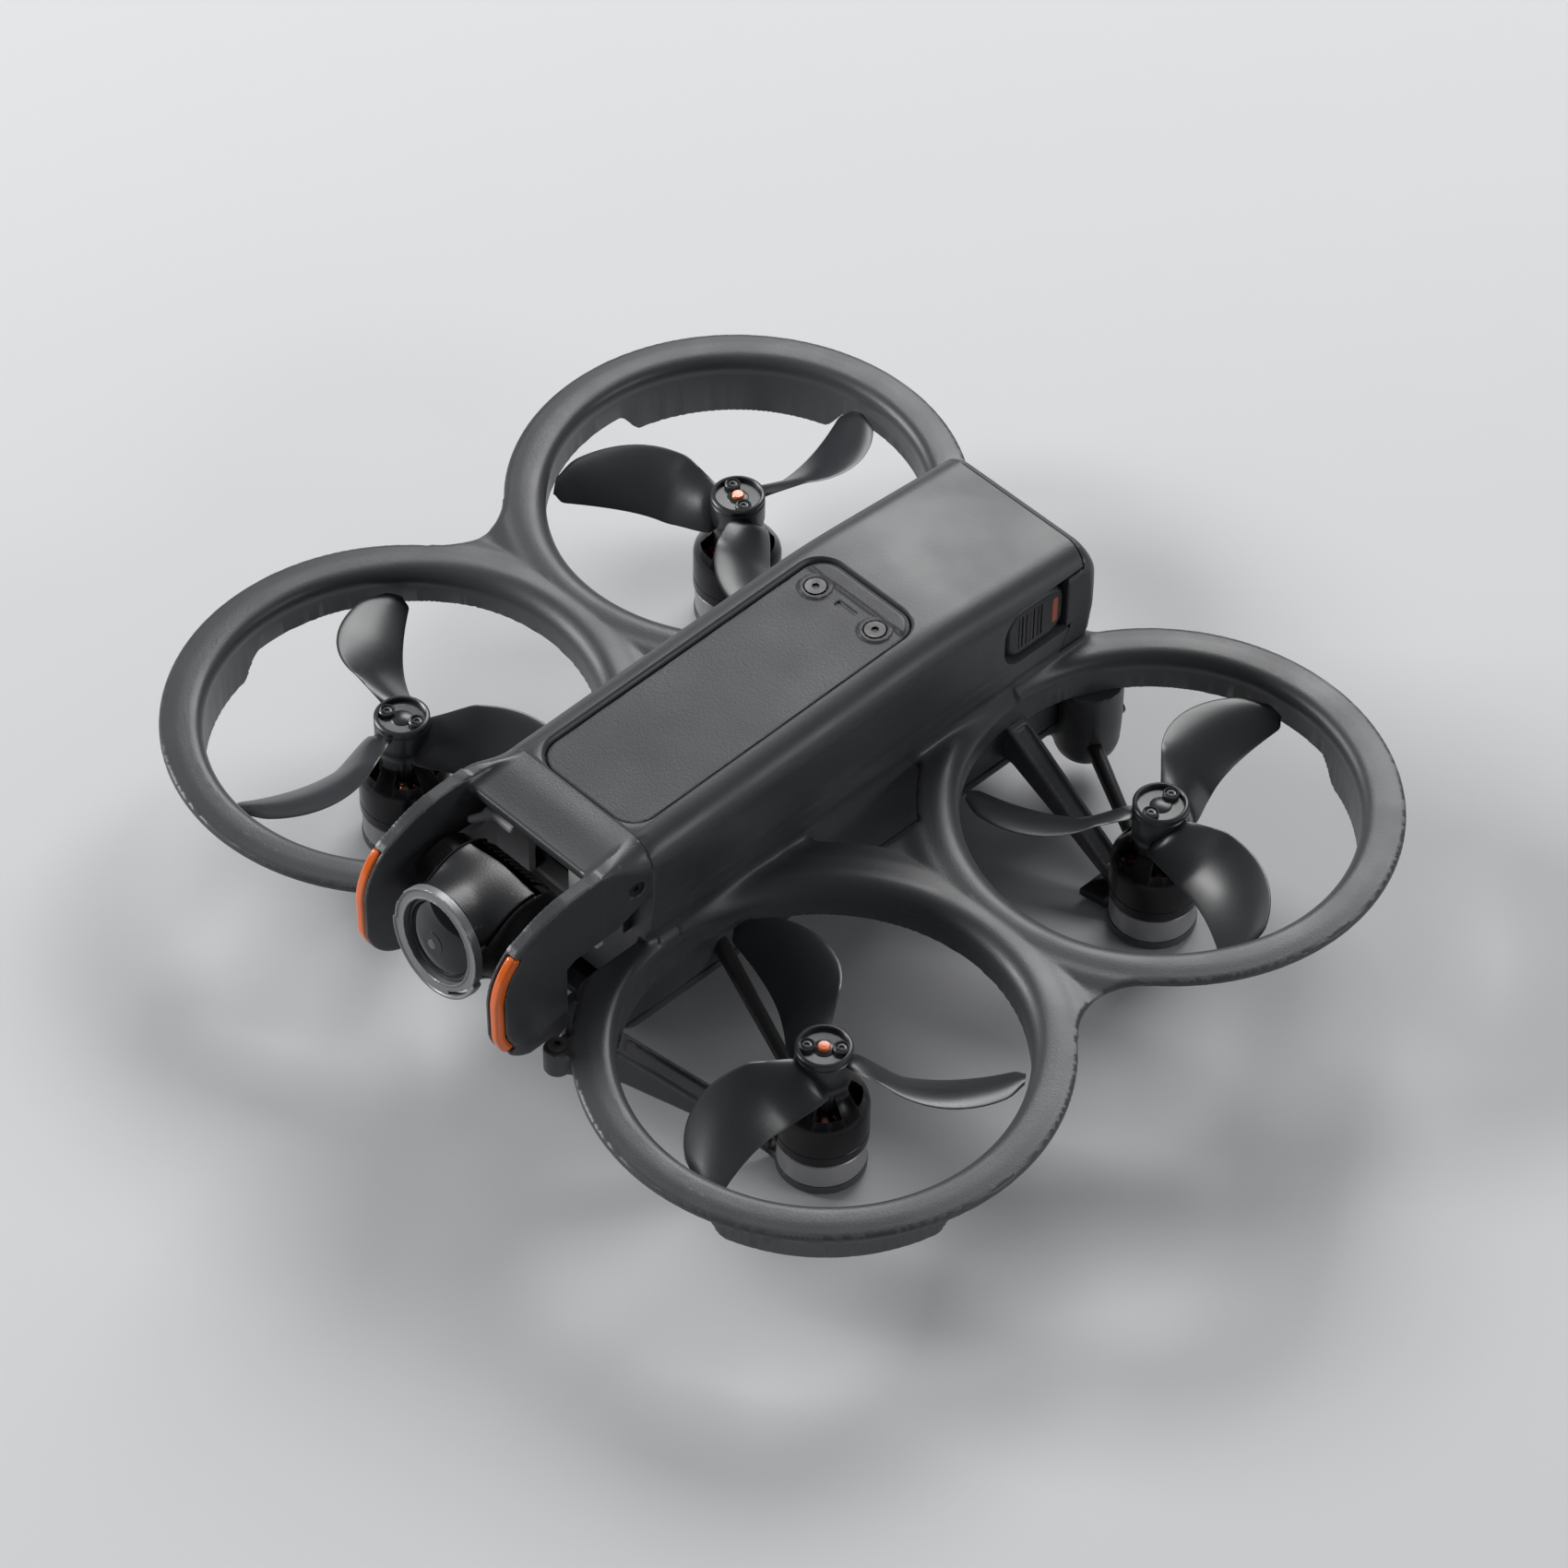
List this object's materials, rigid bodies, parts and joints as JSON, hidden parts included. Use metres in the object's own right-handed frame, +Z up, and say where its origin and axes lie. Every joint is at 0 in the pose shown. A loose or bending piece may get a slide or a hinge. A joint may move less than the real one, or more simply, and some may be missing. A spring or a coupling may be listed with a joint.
{
  "type": "fpv racing drone",
  "caption": "Ducted FPV quadcopter: slim fuselage in a one-piece duct frame, tilting nose camera behind bumper arms, rotors on slanted arms, and a battery that slides out of the tail.",
  "frame": {"origin": "on the ground, under the middle of the drone's bounding box", "axes": "+Z up, nose and camera towards -Y, the drone's own left towards +X"},
  "size_m": [0.212, 0.185, 0.064],
  "materials": {
    "shell": "satin charcoal plastic, fine texture",
    "belly": "matte dark plastic",
    "bumper": "satin dark grey plastic",
    "trim": "glossy orange",
    "cover": "matte dark plastic",
    "arm": "matte dark plastic",
    "screw": "blackened steel",
    "pad": "matte rubber",
    "board": "satin solder mask",
    "heat_sink": "bare metal",
    "inner_plastic": "matte",
    "sensor": "glossy black",
    "port": "metal shell",
    "gimbal_dark": "matte",
    "damper": "soft grey rubber",
    "gimbal": "grey anodised",
    "motor": "glossy black",
    "camera": "satin black",
    "camera_fins": "black anodised",
    "bezel": "grey satin metal",
    "lens": "coated glass",
    "battery": "matte",
    "cell": "wrapped pouch",
    "light": "frosted light window",
    "button": "satin black",
    "cup": "grey anodised",
    "winding": "enamelled copper",
    "blade": "semi-gloss dark plastic"
  },
  "bodies": {
    "frame": {"fuselage_shell": "shell", "duct_front_left": "shell", "duct_front_right": "shell", "duct_rear_left": "shell", "duct_rear_right": "shell", "nose_bumper": "bumper", "bumper_trim_left": "trim", "bumper_trim_right": "trim", "top_cover": "cover", "cover_screws": "screw", "belly_cover": "belly", "arm_front_left": "arm", "arm_front_right": "arm", "arm_rear_left": "arm", "arm_rear_right": "arm", "shell_screws": "screw", "motor_screws": "screw", "foot_pads": "pad", "core_board": "board", "heat_sink": "heat_sink", "fan_housing": "inner_plastic", "battery_socket": "inner_plastic", "down_sensors": "sensor", "tail_sensors": "sensor", "data_port": "port", "gimbal_mount": "gimbal_dark", "damper_balls": "damper", "gimbal_yoke": "gimbal", "tilt_motor": "motor", "motor_base_front_left": "cup", "motor_base_front_right": "cup", "motor_base_rear_left": "cup", "motor_base_rear_right": "cup", "stator_front_left": "winding", "stator_front_right": "winding", "stator_rear_left": "winding", "stator_rear_right": "winding"},
    "rotor_front_left": {"motor_bell_front_left": "motor", "propeller_front_left": "blade"},
    "rotor_front_right": {"motor_bell_front_right": "motor", "propeller_front_right": "blade"},
    "rotor_rear_left": {"motor_bell_rear_left": "motor", "propeller_rear_left": "blade"},
    "rotor_rear_right": {"motor_bell_rear_right": "motor", "propeller_rear_right": "blade"},
    "camera": {"camera_housing": "camera", "camera_heat_sink": "camera_fins", "lens_bezel": "bezel", "lens_glass": "lens", "camera_board": "board"},
    "battery": {"battery_case": "battery", "battery_cells": "cell", "battery_end_cap": "shell", "battery_contacts": "inner_plastic", "battery_lights": "light"},
    "power_button": {"power_button": "button"},
    "latch_left": {"latch_left": "button"},
    "latch_right": {"latch_right": "button"},
    "cooling_fan": {"fan_rotor": "inner_plastic"}
  },
  "joints": [
    {"name": "spin_front_left", "type": "hinge", "parent": "frame", "child": "rotor_front_left", "pos_m": [0.0587, -0.0452, 0.026], "axis": [0, 0, 1], "continuous": true},
    {"name": "spin_front_right", "type": "hinge", "parent": "frame", "child": "rotor_front_right", "pos_m": [-0.0587, -0.0452, 0.026], "axis": [0, 0, 1], "continuous": true},
    {"name": "spin_rear_left", "type": "hinge", "parent": "frame", "child": "rotor_rear_left", "pos_m": [0.0587, 0.0452, 0.026], "axis": [0, 0, 1], "continuous": true},
    {"name": "spin_rear_right", "type": "hinge", "parent": "frame", "child": "rotor_rear_right", "pos_m": [-0.0587, 0.0452, 0.026], "axis": [0, 0, 1], "continuous": true},
    {"name": "camera_tilt", "type": "hinge", "parent": "frame", "child": "camera", "pos_m": [0, -0.074, 0.046], "axis": [-1, 0, 0], "range_deg": [-90, 70]},
    {"name": "battery_slide", "type": "slide", "parent": "frame", "child": "battery", "axis": [0, 1, 0], "range_m": [0, 0.085]},
    {"name": "latch_left_press", "type": "slide", "parent": "battery", "child": "latch_left", "axis": [-1, 0, 0], "range_m": [0, 0.0018], "stiffness_N_per_m": 900, "springref_m": -0.002},
    {"name": "latch_right_press", "type": "slide", "parent": "battery", "child": "latch_right", "axis": [1, 0, 0], "range_m": [0, 0.0018], "stiffness_N_per_m": 900, "springref_m": -0.002},
    {"name": "power_press", "type": "slide", "parent": "battery", "child": "power_button", "axis": [0, -1, 0], "range_m": [0, 0.0008], "stiffness_N_per_m": 1200, "springref_m": -0.001},
    {"name": "fan_spin", "type": "hinge", "parent": "frame", "child": "cooling_fan", "pos_m": [0, -0.031, 0.022], "axis": [0, 0, 1], "continuous": true}
  ]
}
